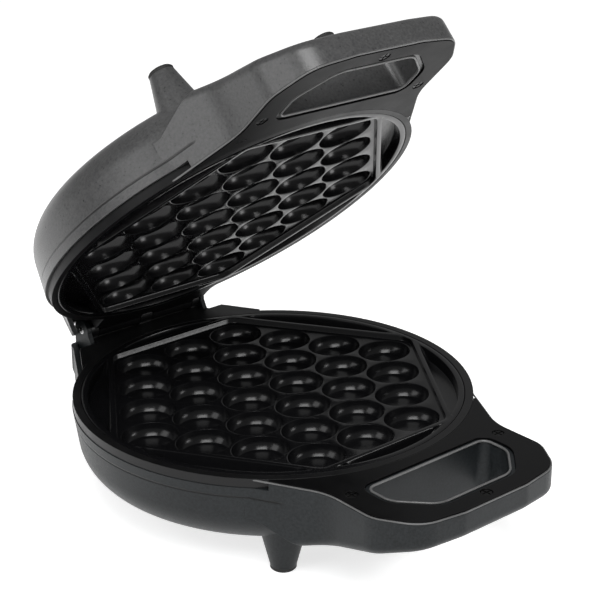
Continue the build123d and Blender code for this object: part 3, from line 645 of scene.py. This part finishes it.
# The lid's cover and ring lie at a grazing angle to the camera, so theirs reflect less
COATED = coated_finish("coated_casting", black=(0.0035, 0.0035, 0.004),
                       speck=(0.010, 0.010, 0.010), gloss=(0.16, 0.24), specular=0.3)
DARK = dark_finish("dark_plastic", dark=(0.002, 0.002, 0.0022), light=(0.004, 0.004, 0.0043),
                   gloss=(0.27, 0.38), specular=0.12)
LID_DARK = dark_finish("lid_cover_plastic", dark=(0.002, 0.002, 0.0022),
                       light=(0.004, 0.004, 0.0043), gloss=(0.27, 0.38), specular=0.04)
RING = dark_finish("ring_plastic", dark=(0.004, 0.004, 0.0043), light=(0.007, 0.007, 0.0073),
                   gloss=(0.30, 0.42))
LID_RING = dark_finish("lid_ring_plastic", dark=(0.004, 0.004, 0.0043),
                       light=(0.007, 0.007, 0.0073), gloss=(0.30, 0.42), specular=0.12)
# Lips and beads are a light grey, far lighter than the dark plastic round them: a painted highlight
# along their rounded edges
LIP_PAINTED_HIGHLIGHT = dark_finish("lip_painted_highlight_plastic", dark=(0.08, 0.08, 0.08), light=(0.13, 0.13, 0.13),
                  gloss=(0.25, 0.40), specular=0.6, bevel=0.0)
# The two housings are one plastic, but the base is coloured darker and the lid lighter for how the
# lamps fall on each: painted shade on the base, painted light on the lid
BASE_SHELL_PAINTED_SHADE = shell_finish("base_shell_painted_shade", BASE_TRAY, dark=(0.005, 0.0062, 0.0068),
                          light=(0.020, 0.023, 0.025), specular=0.22, gloss=(0.36, 0.50))
LID_SHELL_PAINTED_LIGHT = shell_finish("lid_shell_painted_light", LID_TRAY, dark=(0.031, 0.031, 0.032),
                         light=(0.072, 0.072, 0.072), specular=0.5, gloss=(0.27, 0.35))
RUBBER = rubber_finish("foot_rubber", black=(0.007, 0.007, 0.007), dusty=(0.022, 0.021, 0.020),
                       gloss=(0.62, 0.82))
SCREW = metal_finish("screw_steel", colour=(0.020, 0.020, 0.021), worn=(0.035, 0.035, 0.035),
                     gloss=(0.35, 0.5))
ELEMENT = metal_finish("element_steel", colour=(0.42, 0.40, 0.37), worn=(0.25, 0.22, 0.18),
                       gloss=(0.35, 0.55))
REFLECTOR = metal_finish("reflector_sheet", colour=(0.75, 0.75, 0.74), worn=(0.6, 0.6, 0.6),
                         gloss=(0.25, 0.4))
PIN = metal_finish("pin_steel", colour=(0.55, 0.55, 0.55), worn=(0.4, 0.4, 0.4),
                   gloss=(0.2, 0.35))
GLAND = dark_finish("gland_plastic", dark=(0.006, 0.006, 0.006), light=(0.010, 0.010, 0.010),
                    gloss=(0.45, 0.6))
CONTROL = dark_finish("control_plastic", dark=(0.02, 0.012, 0.008), light=(0.035, 0.02, 0.012),
                      gloss=(0.3, 0.45))
BLOCK = dark_finish("block_plastic", dark=(0.5, 0.49, 0.45), light=(0.6, 0.59, 0.55),
                    gloss=(0.35, 0.5))
RED_LENS = lens_finish("lens_red", deep=(0.4125, 0.0275, 0.0165), colour=(0.75, 0.05, 0.03))
GREEN_LENS = lens_finish("lens_green", deep=(0.033, 0.3025, 0.066), colour=(0.06, 0.55, 0.12))
BOARD = board_finish("board", dark=(0.012, 0.075, 0.028), light=(0.02, 0.12, 0.045),
                     gloss=(0.35, 0.5))

NODE_FINISHES = {
    "base_shell": BASE_SHELL_PAINTED_SHADE,
    "lid_shell": LID_SHELL_PAINTED_LIGHT,
    "base_surround": RING,
    "lid_surround": LID_RING,
    "base_handle_cover": DARK,
    "lid_handle_cover": LID_DARK,
    "base_foot_pads": RUBBER,
    "lid_foot_pads": RUBBER,
    "base_cover_screws": SCREW,
    "lid_cover_screws": SCREW,
    "lower_plate_screws": SCREW,
    "upper_plate_screws": SCREW,
    "lower_heating_element": ELEMENT,
    "upper_heating_element": ELEMENT,
    "thermal_fuse": ELEMENT,
    "lower_reflector": REFLECTOR,
    "upper_reflector": REFLECTOR,
    "hinge_pin": PIN,
    "cord_gland": GLAND,
    "thermostat": CONTROL,
    "terminal_block": BLOCK,
    "power_lens": RED_LENS,
    "ready_lens": GREEN_LENS,
    "lamp_board": BOARD,
}

bpy.context.scene.view_settings.view_transform = "Standard"
make_camera()
build_floor()
build_lights()
dress_nodes()
mould_plate("lower_mould_plate", BASE_TRAY, "base", "lower_plate")
mould_plate("upper_mould_plate", LID_TRAY, "lid", "upper_plate")
handle_trim("base", BASE_TRAY, "base")
handle_trim("lid", LID_TRAY, "lid")
